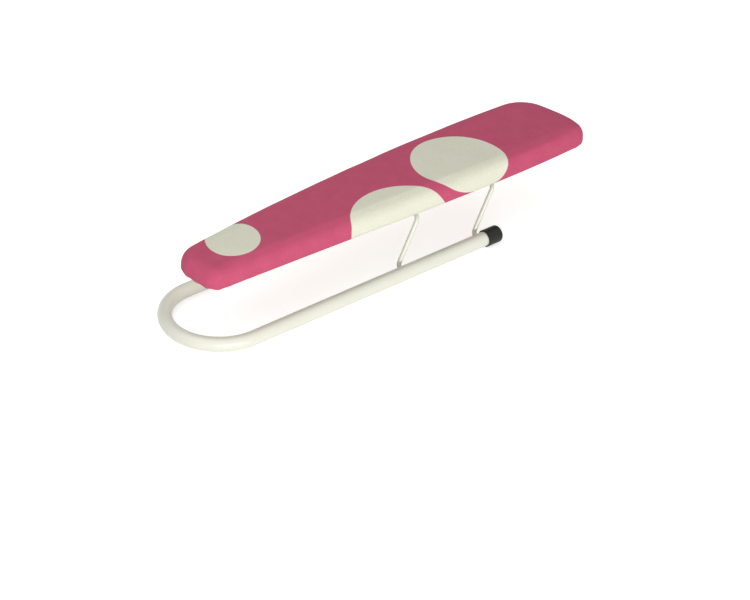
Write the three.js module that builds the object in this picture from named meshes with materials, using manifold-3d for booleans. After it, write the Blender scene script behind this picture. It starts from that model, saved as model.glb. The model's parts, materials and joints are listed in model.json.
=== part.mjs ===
// Sleeve ironing board: a padded, fabric covered board carried by two folding wire legs
// on a base tube bent into a U.
// Units are millimetres. +Z is up, +X runs from the narrow nose to the wide rear end, and the near side is -Y.

import * as THREE from 'three';
import { mergeVertices } from 'three/addons/utils/BufferGeometryUtils.js';
import Module from 'manifold-3d';

const wasm = await Module();
wasm.setup();

// Fits
const touchGap = 0.3; // between pieces that touch
const pivotGap = 0.3; // radial play of a wire in its hole or clip
const cutOverrun = 1; // how far a cutting tool passes the face it cuts

// Base tube
const tubeDiameter = 16;
const tubeWall = 1;
const runSpacing = 115.5; // between the centre lines of the two straight runs
const runLength = 336; // from the centre of the bend to the open tube ends

// End caps
const capWall = 1.2;
const capEndThickness = 2.2;
const capGrip = 18; // length of tube inside a cap
const capEdgeRadius = 3.2;
const soleDepth = 0.5; // flat taken off the underside of a cap

// Wire legs
const wireDiameter = 5;
const footSpacing = 106; // between the front and the rear foot holes
const rimToHole = 1.2; // from a cap's rim to the edge of the rear foot hole
const pinEngagement = 6; // how far a foot pin reaches in past the tube's inner face
const footBendRadius = 6;
const shoulderBendRadius = 7;
const legReach = 60; // from the foot axis to the crossbar axis
const legLean = THREE.MathUtils.degToRad(27.5); // rearward lean of the open legs

// Crank in the middle of each crossbar, which stops the leg against the board
const crankReach = 10;
const crankFlatHalf = 8;
const crankShoulder = 8; // width of the slanted part beside the flat
const crankBendRadius = 4;

// Board outline: a round at each corner, placed from the front crossbar axis and the centre line
const noseNearReach = 273.8; // forward to the tip of the near round at the nose
const noseFarReach = 275.5;
const rearNearReach = 239; // back to the tip of the near round at the rear
const rearFarReach = 233.3;
const noseNearHalf = 35; // out to the side of the round
const noseFarHalf = 32.1;
const rearNearHalf = 46.8;
const rearFarHalf = 50.1;
const noseNearRadius = 18;
const noseFarRadius = 27;
const rearNearRadius = 17.5;
const rearFarRadius = 39.2;

// Bow of each outline edge: how far it turns from the straight line laid against its two rounds
const nearSideNoseBow = THREE.MathUtils.degToRad(0.7);
const nearSideRearBow = THREE.MathUtils.degToRad(5.3);
const farSideNoseBow = THREE.MathUtils.degToRad(4);
const farSideRearBow = THREE.MathUtils.degToRad(5.5);
const noseBow = THREE.MathUtils.degToRad(3);
const rearNearBow = THREE.MathUtils.degToRad(17);
const rearFarBow = THREE.MathUtils.degToRad(6.2);
const noseHandleShare = 0.45; // of the side's length, for the curve's handle at the nose
const rearHandleShare = 0.23;
const endHandleShare = 0.33; // of the nose's or the rear edge's length

// Board layers
const coreThickness = 13;
const padThickness = 4.8;
const padSideThickness = 3;
const fabricThickness = 0.7;
const sideEdgeRadius = 7; // of the top edge, which is softer where the cover pulls round the ends
const noseEdgeRadius = 12;
const rearEdgeRadius = 9.5;
const edgeBlendLength = 80; // from an end to where the edge is as along the sides
const bottomEdgeRadius = 5;
const crownHeight = 0.8;
const crownInset = 14; // from the edge to where the crown is full

// Hem under the board, folded over a flat elastic band
const hemWidth = 12;
const hemTurn = 6.5; // width of the folded-back layer
const bandThickness = 0.6;
const hemClearance = 0.6; // between the leg wire and the hem

// Pivot clips and their screws
const clipHalfLength = 15;
const clipWidth = 12;
const clipCrankGap = 3; // along the crossbar, from the crank's corner to a clip
const clipFlange = 2.4;
const clipWall = 2.2;
const clipMouthShare = 0.8; // of the wire's diameter
const screwPlace = 10.5; // from the pivot axis to a screw
const screwShankRadius = 1.6;
const screwHeadRadius = 3;
const screwHeadHeight = 1.9;
const screwLength = 12;
const screwPointLength = 2;

// Facets
const tubeSides = 24;
const wireSides = 12;
const wireBendSteps = 6;
const baseBendSteps = 30;
const capSides = 32;
const screwSides = 12;
const outlineDivisions = [10, 6, 4, 8, 10, 7, 3, 6]; // each edge and then its round, from the near side on

// Places that follow from the sizes above
const tubeRadius = tubeDiameter / 2;
const wireRadius = wireDiameter / 2;
const runOffset = runSpacing / 2;
const capRadius = tubeRadius + touchGap + capWall;
const runHeight = capRadius - soleDepth;
const capLength = capGrip + touchGap + capEndThickness;
const capRimX = runLength - capGrip;
const footHoleRadius = wireRadius + pivotGap;
const rearFootX = capRimX - rimToHole - footHoleRadius;
const frontFootX = rearFootX - footSpacing;
const innerFace = runOffset - tubeRadius; // of a run, from the centre line
const legPlane = innerFace - footBendRadius;
const crossbarShift = legReach * Math.sin(legLean);
const crossbarRise = legReach * Math.cos(legLean);
const frontCrossbarX = frontFootX + crossbarShift;
const rearCrossbarX = rearFootX + crossbarShift;
const crossbarZ = runHeight + crossbarRise;

const hemDepth = 2 * fabricThickness + 2 * touchGap + bandThickness;
const coverBottom = crossbarZ + wireRadius + hemClearance;
const coreBottom = coverBottom + hemDepth + touchGap;
const coreTop = coreBottom + coreThickness;
const padCeiling = coreTop + touchGap;
const padTop = padCeiling + padThickness;
const coverCeiling = padTop + touchGap;
const coverTop = coverCeiling + fabricThickness;
const padInset = fabricThickness + touchGap;
const padInnerInset = padInset + padSideThickness;
const coreInset = padInnerInset + touchGap;
const pivotDrop = coreBottom - crossbarZ;
const clipPlace = crankFlatHalf + crankShoulder + clipCrankGap + clipWidth / 2;

// Finishes
const creamPaint = new THREE.MeshStandardMaterial({ color: 0xe9eadb, roughness: 0.35, metalness: 0.1 });
const blackPlastic = new THREE.MeshStandardMaterial({ color: 0x17160f, roughness: 0.5, metalness: 0 });
const pinkCotton = new THREE.MeshStandardMaterial({ color: 0xc24f75, roughness: 0.9, metalness: 0 });
const greyFoam = new THREE.MeshStandardMaterial({ color: 0xb9b7ae, roughness: 0.95, metalness: 0 });
const whiteElastic = new THREE.MeshStandardMaterial({ color: 0xece8df, roughness: 0.85, metalness: 0 });
const plyWood = new THREE.MeshStandardMaterial({ color: 0xc59e6c, roughness: 0.75, metalness: 0 });
const greyNylon = new THREE.MeshStandardMaterial({ color: 0x8d9092, roughness: 0.55, metalness: 0 });
const zincSteel = new THREE.MeshStandardMaterial({ color: 0xb8bcc0, roughness: 0.35, metalness: 0.9 });

// Keeps only positions and shares the vertices that lie together.
function weld(geometry) {
  const bare = new THREE.BufferGeometry();
  bare.setAttribute('position', geometry.getAttribute('position').clone());
  if (geometry.index) bare.setIndex(geometry.index.clone());
  return mergeVertices(bare);
}

function toSolid(geometry) {
  const welded = weld(geometry);
  return new wasm.Manifold(new wasm.Mesh({
    numProp: 3,
    vertProperties: new Float32Array(welded.getAttribute('position').array),
    triVerts: new Uint32Array(welded.index.array),
  }));
}

function toGeometry(solid) {
  const mesh = solid.getMesh();
  const geometry = new THREE.BufferGeometry();
  geometry.setAttribute('position', new THREE.BufferAttribute(new Float32Array(mesh.vertProperties), 3));
  geometry.setIndex(new THREE.BufferAttribute(new Uint32Array(mesh.triVerts), 1));
  return geometry;
}

function subtract(geometry, tools) {
  return toGeometry(tools.reduce((rest, tool) => rest.subtract(toSolid(tool)), toSolid(geometry)));
}

// A polygon with corners on a circle. A half-step turn puts flats, not corners, on the axes.
function roundSection(radius, sides) {
  const corners = [];
  for (let i = 0; i < sides; i += 1) {
    const angle = ((i + 0.5) / sides) * 2 * Math.PI;
    corners.push(new THREE.Vector2(radius * Math.cos(angle), radius * Math.sin(angle)));
  }
  return corners;
}

// A path that visits its stations at even parameter steps, so a sweep has one ring at each of them.
class StationPath extends THREE.Curve {
  constructor(stations) {
    super();
    this.stations = stations;
  }

  locate(u) {
    const place = u * (this.stations.length - 1);
    const index = Math.min(Math.round(place), this.stations.length - 1);
    return this.stations[index];
  }

  getPointAt(u, target = new THREE.Vector3()) {
    return target.copy(this.locate(u).point);
  }

  getTangentAt(u, target = new THREE.Vector3()) {
    return target.copy(this.locate(u).tangent);
  }
}

function sweep(stations, outer, inner) {
  const section = new THREE.Shape(outer);
  if (inner) section.holes.push(new THREE.Path(inner));
  return new THREE.ExtrudeGeometry(section, {
    steps: stations.length - 1,
    extrudePath: new StationPath(stations),
  });
}

// Stations of a bent wire: straight between its corners, with a round bend at each inner corner.
function bentStations(corners, radii) {
  const stations = [];
  const heading = (a, b) => new THREE.Vector3().subVectors(b, a).normalize();
  stations.push({ point: corners[0], tangent: heading(corners[0], corners[1]) });
  for (let i = 1; i < corners.length - 1; i += 1) {
    const before = heading(corners[i - 1], corners[i]);
    const after = heading(corners[i], corners[i + 1]);
    const turn = before.angleTo(after);
    const radius = radii[i - 1];
    const start = corners[i].clone().addScaledVector(before, -radius * Math.tan(turn / 2));
    const side = after.clone().addScaledVector(before, -after.dot(before)).normalize();
    const centre = start.clone().addScaledVector(side, radius);
    for (let step = 0; step <= wireBendSteps; step += 1) {
      const angle = (turn * step) / wireBendSteps;
      const point = centre.clone()
        .addScaledVector(side, -radius * Math.cos(angle))
        .addScaledVector(before, radius * Math.sin(angle));
      const tangent = new THREE.Vector3()
        .addScaledVector(before, Math.cos(angle))
        .addScaledVector(side, Math.sin(angle));
      stations.push({ point, tangent });
    }
  }
  const last = corners.length - 1;
  stations.push({ point: corners[last], tangent: heading(corners[last - 1], corners[last]) });
  return stations;
}

function cylinderAlong(axis, radius, length, sides) {
  const geometry = new THREE.CylinderGeometry(radius, radius, length, sides);
  if (axis === 'x') geometry.rotateZ(-Math.PI / 2);
  if (axis === 'z') geometry.rotateX(Math.PI / 2);
  return geometry;
}

// Base: the runs lie at the height that the caps give them, and the bend dips to the table.
function baseTube() {
  const stations = [{
    point: new THREE.Vector3(runLength, -runOffset, runHeight),
    tangent: new THREE.Vector3(-1, 0, 0),
  }];
  const dip = runHeight - tubeRadius;
  for (let step = 0; step <= baseBendSteps; step += 1) {
    const angle = (Math.PI * step) / baseBendSteps;
    const point = new THREE.Vector3(
      -runOffset * Math.sin(angle),
      -runOffset * Math.cos(angle),
      runHeight - dip * Math.sin(angle) ** 2,
    );
    const tangent = new THREE.Vector3(
      -runOffset * Math.cos(angle),
      runOffset * Math.sin(angle),
      -dip * Math.sin(2 * angle),
    ).normalize();
    stations.push({ point, tangent });
  }
  stations.push({
    point: new THREE.Vector3(runLength, runOffset, runHeight),
    tangent: new THREE.Vector3(1, 0, 0),
  });
  const pipe = sweep(
    stations,
    roundSection(tubeRadius, tubeSides),
    roundSection(tubeRadius - tubeWall, tubeSides),
  );
  const holes = [];
  for (const x of [frontFootX, rearFootX]) {
    for (const side of [-1, 1]) {
      const drill = cylinderAlong('y', footHoleRadius, 2 * (tubeWall + cutOverrun), wireSides * 2);
      drill.translate(x, side * innerFace, runHeight);
      holes.push(drill);
    }
  }
  return subtract(pipe, holes);
}

// End cap: a cup pushed over the tube end, with a flat sole. Its rim is at x = 0.
function endCap() {
  const boreRadius = tubeRadius + touchGap;
  const profile = [new THREE.Vector2(0, capLength)];
  const edgeSteps = 4;
  for (let step = 0; step <= edgeSteps; step += 1) {
    const angle = (Math.PI / 2) * (1 - step / edgeSteps);
    profile.push(new THREE.Vector2(
      capRadius - capEdgeRadius + capEdgeRadius * Math.cos(angle),
      capLength - capEdgeRadius + capEdgeRadius * Math.sin(angle),
    ));
  }
  profile.push(new THREE.Vector2(capRadius, 0));
  profile.push(new THREE.Vector2(boreRadius, 0));
  profile.push(new THREE.Vector2(boreRadius, capLength - capEndThickness));
  profile.push(new THREE.Vector2(0, capLength - capEndThickness));
  const cup = new THREE.LatheGeometry(profile.reverse(), capSides);
  cup.rotateZ(-Math.PI / 2);
  const below = new THREE.BoxGeometry(
    capLength + 2 * cutOverrun,
    2 * (capRadius + cutOverrun),
    soleDepth + cutOverrun,
  );
  below.translate(capLength / 2, 0, -runHeight - (soleDepth + cutOverrun) / 2);
  return subtract(cup, [below]);
}

// Leg: one wire from foot pin to foot pin, with its origin on the foot axis.
function wireLeg() {
  const rise = Math.asin((pivotDrop - wireRadius - touchGap) / crankReach);
  const crank = new THREE.Vector3(-crankReach * Math.cos(rise), 0, crankReach * Math.sin(rise));
  const pinEnd = innerFace + pinEngagement;
  const half = [
    new THREE.Vector3(0, -pinEnd, 0),
    new THREE.Vector3(0, -legPlane, 0),
    new THREE.Vector3(crossbarShift, -legPlane, crossbarRise),
    new THREE.Vector3(crossbarShift, -crankFlatHalf - crankShoulder, crossbarRise),
    new THREE.Vector3(crossbarShift + crank.x, -crankFlatHalf, crossbarRise + crank.z),
  ];
  const mirrored = half.map((corner) => new THREE.Vector3(corner.x, -corner.y, corner.z)).reverse();
  const halfRadii = [footBendRadius, shoulderBendRadius, crankBendRadius, crankBendRadius];
  const radii = [...halfRadii, ...halfRadii.slice().reverse()];
  return sweep(bentStations([...half, ...mirrored], radii), roundSection(wireRadius, wireSides));
}

// Board outline, seen from above and counter-clockwise, from the nose along the near side.
function boardOutline() {
  const round = (end, side, reach, half, radius) => ({
    centre: new THREE.Vector2(frontCrossbarX + end * (reach - radius), side * (half - radius)),
    radius,
  });
  const rounds = [
    round(-1, -1, noseNearReach, noseNearHalf, noseNearRadius),
    round(1, -1, rearNearReach, rearNearHalf, rearNearRadius),
    round(1, 1, rearFarReach, rearFarHalf, rearFarRadius),
    round(-1, 1, noseFarReach, noseFarHalf, noseFarRadius),
  ];
  const edges = [
    { bows: [nearSideNoseBow, nearSideRearBow], handleShares: [noseHandleShare, rearHandleShare] },
    { bows: [rearNearBow, rearFarBow], handleShares: [endHandleShare, endHandleShare] },
    { bows: [farSideRearBow, farSideNoseBow], handleShares: [rearHandleShare, noseHandleShare] },
    { bows: [noseBow, noseBow], handleShares: [endHandleShare, endHandleShare] },
  ];

  // The angle at which each edge leaves one round and meets the next.
  edges.forEach((edge, i) => {
    edge.first = rounds[i];
    edge.last = rounds[(i + 1) % rounds.length];
    const span = edge.last.centre.clone().sub(edge.first.centre);
    const square = span.angle() - Math.acos((edge.first.radius - edge.last.radius) / span.length());
    edge.leave = square - edge.bows[0];
    edge.meet = square + edge.bows[1];
  });

  const onRound = ({ centre, radius }, angle) => new THREE.Vector2(Math.cos(angle), Math.sin(angle))
    .multiplyScalar(radius)
    .add(centre);
  const ahead = (angle) => new THREE.Vector2(-Math.sin(angle), Math.cos(angle));
  const curves = edges.flatMap(({ first, last, leave, meet, handleShares }, i) => {
    const start = onRound(first, leave);
    const end = onRound(last, meet);
    const length = start.distanceTo(end);
    const startHandle = start.clone().addScaledVector(ahead(leave), handleShares[0] * length);
    const endHandle = end.clone().addScaledVector(ahead(meet), -handleShares[1] * length);
    const next = edges[(i + 1) % edges.length].leave;
    return [
      new THREE.CubicBezierCurve(start, startHandle, endHandle, end),
      new THREE.EllipseCurve(last.centre.x, last.centre.y, last.radius, last.radius, meet, next),
    ];
  });
  return curves.flatMap((curve, i) => curve.getPoints(outlineDivisions[i]).slice(0, -1));
}

const outline = boardOutline();
const noseX = Math.min(...outline.map(({ x }) => x));
const rearX = Math.max(...outline.map(({ x }) => x));
const baseFrontX = -runOffset - tubeRadius;
const originX = (baseFrontX + Math.max(rearX, capRimX + capLength)) / 2;

// Unit inward offset of each outline point, longer at corners so that the edges move evenly.
const inward = outline.map((point, i) => {
  const before = outline[(i + outline.length - 1) % outline.length];
  const after = outline[(i + 1) % outline.length];
  const normal = (a, b) => new THREE.Vector2(a.y - b.y, b.x - a.x).normalize();
  const first = normal(before, point);
  const sum = first.clone().add(normal(point, after)).normalize();
  return sum.divideScalar(sum.dot(first));
});

// A ring of the board outline, moved in by an inset, at a height.
function ring(inset, z) {
  return outline.map((point, i) => new THREE.Vector3(
    point.x + inward[i].x * inset,
    point.y + inward[i].y * inset,
    z,
  ));
}

// Top edge radius at each outline point.
const edgeRadii = outline.map(({ x }) => {
  const noseShare = 1 - THREE.MathUtils.smoothstep(x, noseX, noseX + edgeBlendLength);
  const rearShare = THREE.MathUtils.smoothstep(x, rearX - edgeBlendLength, rearX);
  return sideEdgeRadius
    + (noseEdgeRadius - sideEdgeRadius) * noseShare
    + (rearEdgeRadius - sideEdgeRadius) * rearShare;
});

// Rings of a quarter round, from one angle to another, where 0 is outwards and 90 is up.
// Each outline point has its own radius there, and a skin that lies deeper keeps the same centres.
function roundRings(radii, centreZs, depth, fromAngle, toAngle, steps) {
  const rings = [];
  for (let step = 0; step <= steps; step += 1) {
    const angle = fromAngle + ((toAngle - fromAngle) * step) / steps;
    rings.push(outline.map((point, i) => {
      const radius = radii[i] - depth;
      const inset = radii[i] - radius * Math.cos(angle);
      return new THREE.Vector3(
        point.x + inward[i].x * inset,
        point.y + inward[i].y * inset,
        centreZs[i] + radius * Math.sin(angle),
      );
    }));
  }
  return rings;
}

const quarterTurn = Math.PI / 2;
const topCentres = edgeRadii.map((radius) => coverTop - radius);
const bottomRadii = outline.map(() => bottomEdgeRadius);
const bottomCentres = bottomRadii.map((radius) => coverBottom + radius);
const topRound = (depth, from, to, steps) => roundRings(edgeRadii, topCentres, depth, from, to, steps);
const bottomRound = (depth, from, to, steps) => roundRings(bottomRadii, bottomCentres, depth, from, to, steps);

// Joins rings into a closed skin, listed from the top outside downwards.
// An open list is closed by a face at each end, a looped one by joining its last ring to its first.
function loft(rings, looped = false) {
  const count = outline.length;
  const positions = rings.flat().flatMap((point) => [point.x, point.y, point.z]);
  const faces = [];
  const pairs = looped ? rings.length : rings.length - 1;
  for (let level = 0; level < pairs; level += 1) {
    const upper = level * count;
    const lower = ((level + 1) % rings.length) * count;
    for (let i = 0; i < count; i += 1) {
      const next = (i + 1) % count;
      faces.push(lower + i, lower + next, upper + next);
      faces.push(lower + i, upper + next, upper + i);
    }
  }
  if (!looped) {
    const flat = (level) => rings[level].map((point) => new THREE.Vector2(point.x, point.y));
    const last = rings.length - 1;
    for (const [a, b, c] of THREE.ShapeUtils.triangulateShape(flat(0), [])) faces.push(a, b, c);
    for (const [a, b, c] of THREE.ShapeUtils.triangulateShape(flat(last), [])) {
      faces.push(last * count + a, last * count + c, last * count + b);
    }
  }
  const geometry = new THREE.BufferGeometry();
  geometry.setAttribute('position', new THREE.Float32BufferAttribute(positions, 3));
  geometry.setIndex(faces);
  return geometry;
}

// Wooden core, with a pilot hole for every clip screw.
function boardCore() {
  const slab = loft([ring(coreInset, coreTop), ring(coreInset, coreBottom)]);
  const depth = screwLength - clipFlange + touchGap;
  const pilots = screwPlaces().map(({ x, y }) => {
    const drill = cylinderAlong('z', screwShankRadius + touchGap, depth + cutOverrun, screwSides);
    drill.translate(x, y, coreBottom + (depth - cutOverrun) / 2);
    return drill;
  });
  return subtract(slab, pilots);
}

// Foam pad: a tray turned over the core's top and sides, slightly crowned.
function foamPad() {
  return loft([
    ring(crownInset, padTop + crownHeight),
    ...topRound(padInset, quarterTurn, 0, 4),
    ring(padInset, coverBottom + bottomEdgeRadius),
    ring(padInnerInset, coverBottom + bottomEdgeRadius),
    ring(padInnerInset, padCeiling),
  ]);
}

// Cover: one skin over the pad, turned in under the board and folded back at the hem.
function fabricCover() {
  const foldTop = coverBottom + hemDepth;
  return loft([
    ring(crownInset, coverTop + crownHeight),
    ...topRound(0, quarterTurn, 0, 4),
    ...bottomRound(0, 0, -quarterTurn, 3),
    ring(hemWidth, coverBottom),
    ring(hemWidth, foldTop),
    ring(hemWidth - hemTurn, foldTop),
    ring(hemWidth - hemTurn, foldTop - fabricThickness),
    ring(hemWidth - fabricThickness, foldTop - fabricThickness),
    ring(hemWidth - fabricThickness, coverBottom + fabricThickness),
    ...bottomRound(fabricThickness, -quarterTurn, 0, 2),
    ...topRound(fabricThickness, 0, quarterTurn, 4),
    ring(crownInset, coverCeiling + crownHeight),
  ]);
}

// Flat elastic band lying in the fold of the hem.
function hemElastic() {
  const outer = hemWidth - hemTurn;
  const inner = hemWidth - fabricThickness - touchGap;
  const bottom = coverBottom + fabricThickness + touchGap;
  const top = bottom + bandThickness;
  return loft([ring(outer, top), ring(outer, bottom), ring(inner, bottom), ring(inner, top)], true);
}

// Clip: a flange under the core and a boss with a snap-in bore, open downwards.
// Its origin is on the pivot axis, and it lies along Y.
function pivotClip() {
  const top = pivotDrop - touchGap;
  const flangeBottom = top - clipFlange;
  const boreRadius = wireRadius + pivotGap;
  const bossRadius = boreRadius + clipWall;
  const mouth = (clipMouthShare * wireDiameter) / 2;
  const down = -Math.PI / 2;
  const bossMouth = Math.asin(mouth / bossRadius);
  const boreMouth = Math.asin(mouth / boreRadius);

  const profile = new THREE.Shape();
  profile.moveTo(clipHalfLength, top);
  profile.lineTo(-clipHalfLength, top);
  profile.lineTo(-clipHalfLength, flangeBottom);
  profile.lineTo(-bossRadius, flangeBottom);
  profile.absarc(0, 0, bossRadius, -Math.PI, down - bossMouth, false);
  profile.absarc(0, 0, boreRadius, down - boreMouth, down + boreMouth - 2 * Math.PI, true);
  profile.absarc(0, 0, bossRadius, down + bossMouth, 0, false);
  profile.lineTo(bossRadius, flangeBottom);
  profile.lineTo(clipHalfLength, flangeBottom);
  profile.closePath();
  const body = new THREE.ExtrudeGeometry(profile, { depth: clipWidth, bevelEnabled: false, curveSegments: 8 });
  body.translate(0, 0, -clipWidth / 2);
  body.rotateX(Math.PI / 2);
  const holes = [-screwPlace, screwPlace].map((x) => {
    const drill = cylinderAlong('z', screwShankRadius + touchGap, clipFlange + 2 * cutOverrun, screwSides);
    drill.translate(x, 0, flangeBottom + clipFlange / 2);
    return drill;
  });
  return subtract(body, holes);
}

// Pan head screw, point up, with the underside of its head at z = 0.
function clipScrew() {
  const domeSteps = 3;
  const profile = [];
  for (let step = 0; step <= domeSteps; step += 1) {
    const angle = (Math.PI / 2) * (step / domeSteps);
    profile.push(new THREE.Vector2(
      screwHeadRadius * Math.sin(angle),
      -screwHeadHeight * Math.cos(angle),
    ));
  }
  profile.push(new THREE.Vector2(screwShankRadius, 0));
  profile.push(new THREE.Vector2(screwShankRadius, screwLength - screwPointLength));
  profile.push(new THREE.Vector2(0, screwLength));
  const screw = new THREE.LatheGeometry(profile, screwSides);
  screw.rotateX(Math.PI / 2);
  return screw;
}

function clipPlaces() {
  const places = [];
  for (const [end, x] of [['front', frontCrossbarX], ['rear', rearCrossbarX]]) {
    for (const [side, sign] of [['near', -1], ['far', 1]]) {
      places.push({ name: `${end}_${side}`, x, y: sign * clipPlace });
    }
  }
  return places;
}

function screwPlaces() {
  return clipPlaces().flatMap(({ name, x, y }) => [
    { name: `${name}_fore`, x: x - screwPlace, y },
    { name: `${name}_aft`, x: x + screwPlace, y },
  ]);
}

const sleeveBoard = new THREE.Group();
sleeveBoard.position.x = -originX;

function place(name, geometry, material, x = 0, y = 0, z = 0) {
  const mesh = new THREE.Mesh(weld(geometry), material);
  mesh.name = name;
  mesh.position.set(x, y, z);
  sleeveBoard.add(mesh);
}

place('base_tube', baseTube(), creamPaint);
for (const [side, sign] of [['near', -1], ['far', 1]]) {
  place(`end_cap_${side}`, endCap(), blackPlastic, capRimX, sign * runOffset, runHeight);
}
place('front_leg', wireLeg(), creamPaint, frontFootX, 0, runHeight);
place('rear_leg', wireLeg(), creamPaint, rearFootX, 0, runHeight);

place('board_core', boardCore(), plyWood);
place('foam_pad', foamPad(), greyFoam);
place('fabric_cover', fabricCover(), pinkCotton);
place('hem_elastic', hemElastic(), whiteElastic);
for (const { name, x, y } of clipPlaces()) {
  place(`pivot_clip_${name}`, pivotClip(), greyNylon, x, y, crossbarZ);
}
const headSeat = coreBottom - touchGap - clipFlange - touchGap;
for (const { name, x, y } of screwPlaces()) {
  place(`clip_screw_${name}`, clipScrew(), zincSteel, x, y, headSeat);
}

export default sleeveBoard;
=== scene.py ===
# %% [markdown]
# Sleeve ironing board
#
# A narrow padded board with a printed cotton cover stands on two folding wires, and the wires turn in a
# base that is one round tube bent into a U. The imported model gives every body's place and every joint.
# This lesson dresses it: tube, wires and caps get true curves, and the board gets real soft goods.

# %% Load the frame
import json
import math

import bmesh
import bpy
import numpy as np
from mathutils import Matrix, Vector, kdtree, noise


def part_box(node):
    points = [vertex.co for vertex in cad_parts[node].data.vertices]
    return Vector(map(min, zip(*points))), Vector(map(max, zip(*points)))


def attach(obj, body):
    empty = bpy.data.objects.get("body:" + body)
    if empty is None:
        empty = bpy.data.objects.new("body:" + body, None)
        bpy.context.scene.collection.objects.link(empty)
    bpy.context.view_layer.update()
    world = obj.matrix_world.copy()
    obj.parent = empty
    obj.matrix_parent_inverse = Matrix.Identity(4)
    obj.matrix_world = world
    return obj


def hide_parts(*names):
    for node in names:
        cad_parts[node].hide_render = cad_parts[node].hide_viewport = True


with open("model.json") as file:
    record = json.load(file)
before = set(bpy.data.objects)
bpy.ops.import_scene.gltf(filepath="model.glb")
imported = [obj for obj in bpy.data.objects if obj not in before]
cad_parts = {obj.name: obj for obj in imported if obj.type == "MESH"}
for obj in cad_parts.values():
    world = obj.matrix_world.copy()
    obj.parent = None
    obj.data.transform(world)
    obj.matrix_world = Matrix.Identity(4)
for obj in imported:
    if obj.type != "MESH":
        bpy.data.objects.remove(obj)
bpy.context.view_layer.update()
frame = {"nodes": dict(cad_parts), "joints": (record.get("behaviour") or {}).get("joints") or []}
mm = 0.001


def configure(item, **settings):
    """Sets several properties of a Blender item at once."""
    for name, value in settings.items():
        setattr(item, name, value)
    return item


def new_object(name, data):
    piece = bpy.data.objects.new(name, data)
    bpy.context.scene.collection.objects.link(piece)
    return piece


# %% [markdown]
# Camera
#
# The photograph was taken from far away, so parallel edges stay almost parallel. The place and the angles
# come from matching the tube, the board and the dots. A Track To constraint could aim a camera too, but a
# matrix keeps the picture's slight roll.

# %% Camera
camera_place = Vector((-3.3434, -3.8840, 3.2410))
camera_yaw, camera_pitch, camera_roll = (math.radians(angle) for angle in (40.734, 32.016, 1.654))
focal_pixels, sensor_width = 5650.4, 36
picture_centre, fitted_centre = (375, 300), (370.5, 228.5)
aside, below = (centre - fitted for centre, fitted in zip(picture_centre, fitted_centre))

ahead = Vector((
    math.sin(camera_yaw) * math.cos(camera_pitch),
    math.cos(camera_yaw) * math.cos(camera_pitch),
    -math.sin(camera_pitch),
))
level_right = Vector((math.cos(camera_yaw), -math.sin(camera_yaw), 0))
level_up = level_right.cross(ahead)
right = math.cos(camera_roll) * level_right + math.sin(camera_roll) * level_up
up = -math.sin(camera_roll) * level_right + math.cos(camera_roll) * level_up
aim = (ahead + right * aside / focal_pixels - up * below / focal_pixels).normalized()
right = (right - aim * right.dot(aim)).normalized()
up = right.cross(aim)

lens = configure(bpy.data.cameras.new("long_lens"), sensor_width=sensor_width, clip_end=40,
                 lens=focal_pixels * sensor_width / (2 * picture_centre[0]))
camera = new_object("long_lens", lens)
camera.matrix_world = Matrix.Translation(camera_place) @ Matrix((right, up, -aim)).transposed().to_4x4()
bpy.context.scene.camera = camera
bpy.context.scene.view_settings.view_transform = "Standard"
print("lens", round(lens.lens, 1), "mm")

# %% [markdown]
# Helpers for node trees
#
# A node tree is built by placing nodes, setting their sockets and linking them. A few helpers keep that
# readable. They all add to the tree that the running cell calls tree.

# %% Node helpers
def connect(value, socket):
    """Links an output to a socket, or gives the socket a plain value."""
    if isinstance(value, bpy.types.NodeSocket):
        tree.links.new(value, socket)
    else:
        socket.default_value = value


def add(kind, sockets=None, **settings):
    """Adds a node with its settings and sockets, and returns its outputs."""
    node = configure(tree.nodes.new(kind), **settings)
    for name, value in (sockets or {}).items():
        connect(value, node.inputs[name])
    return node.outputs


def calc(operation, *values, clamp=False):
    return add("ShaderNodeMath", dict(enumerate(values)), operation=operation, use_clamp=clamp)[0]


def mix(share, first, second, blend="MIX"):
    """Blends two colours by a share, or multiplies them."""
    return add("ShaderNodeMix", {0: share, 6: first, 7: second}, data_type="RGBA", blend_type=blend)[2]


def remap(value, wanted, given=(0.0, 1.0)):
    """Turns values of a given range into a wanted range, softly at both ends."""
    limits = dict(zip(("From Min", "From Max", "To Min", "To Max"), (*given, *wanted)))
    return add("ShaderNodeMapRange", {"Value": value, **limits}, interpolation_type="SMOOTHSTEP")[0]


def noise_on(place, scale, detail, **more):
    return add("ShaderNodeTexNoise", {"Vector": place, "Scale": scale, "Detail": detail, **more})[0]


def tone(*screen):
    """A colour given as screen values from 0 to 255, made linear for the shader."""
    shares = [value / 255 for value in screen]
    return (*[c / 12.92 if c <= 0.04045 else ((c + 0.055) / 1.055) ** 2.4 for c in shares], 1.0)


# %% [markdown]
# Shared effects
#
# Real finishes are never even. Three effects serve several materials, so each is a node group: a soft
# mottle, a fine grain for sprayed and moulded skins, and a plain weave for cloth. A group puts out only a
# mask or a height, and the shader itself stays in the material.

# %% Shared effects
def effect(name, outputs, **numbers):
    """A group with a Vector, some numbers and its outputs. Returns it, what goes in and what comes out."""
    group = bpy.data.node_groups.new(name, "ShaderNodeTree")
    group.interface.new_socket("Vector", in_out="INPUT", socket_type="NodeSocketVector")
    for label, start in numbers.items():
        group.interface.new_socket(label, in_out="INPUT", socket_type="NodeSocketFloat").default_value = start
    for label in outputs:
        group.interface.new_socket(label, in_out="OUTPUT", socket_type="NodeSocketFloat")
    return group, group.nodes.new("NodeGroupInput").outputs, group.nodes.new("NodeGroupOutput").inputs


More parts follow.
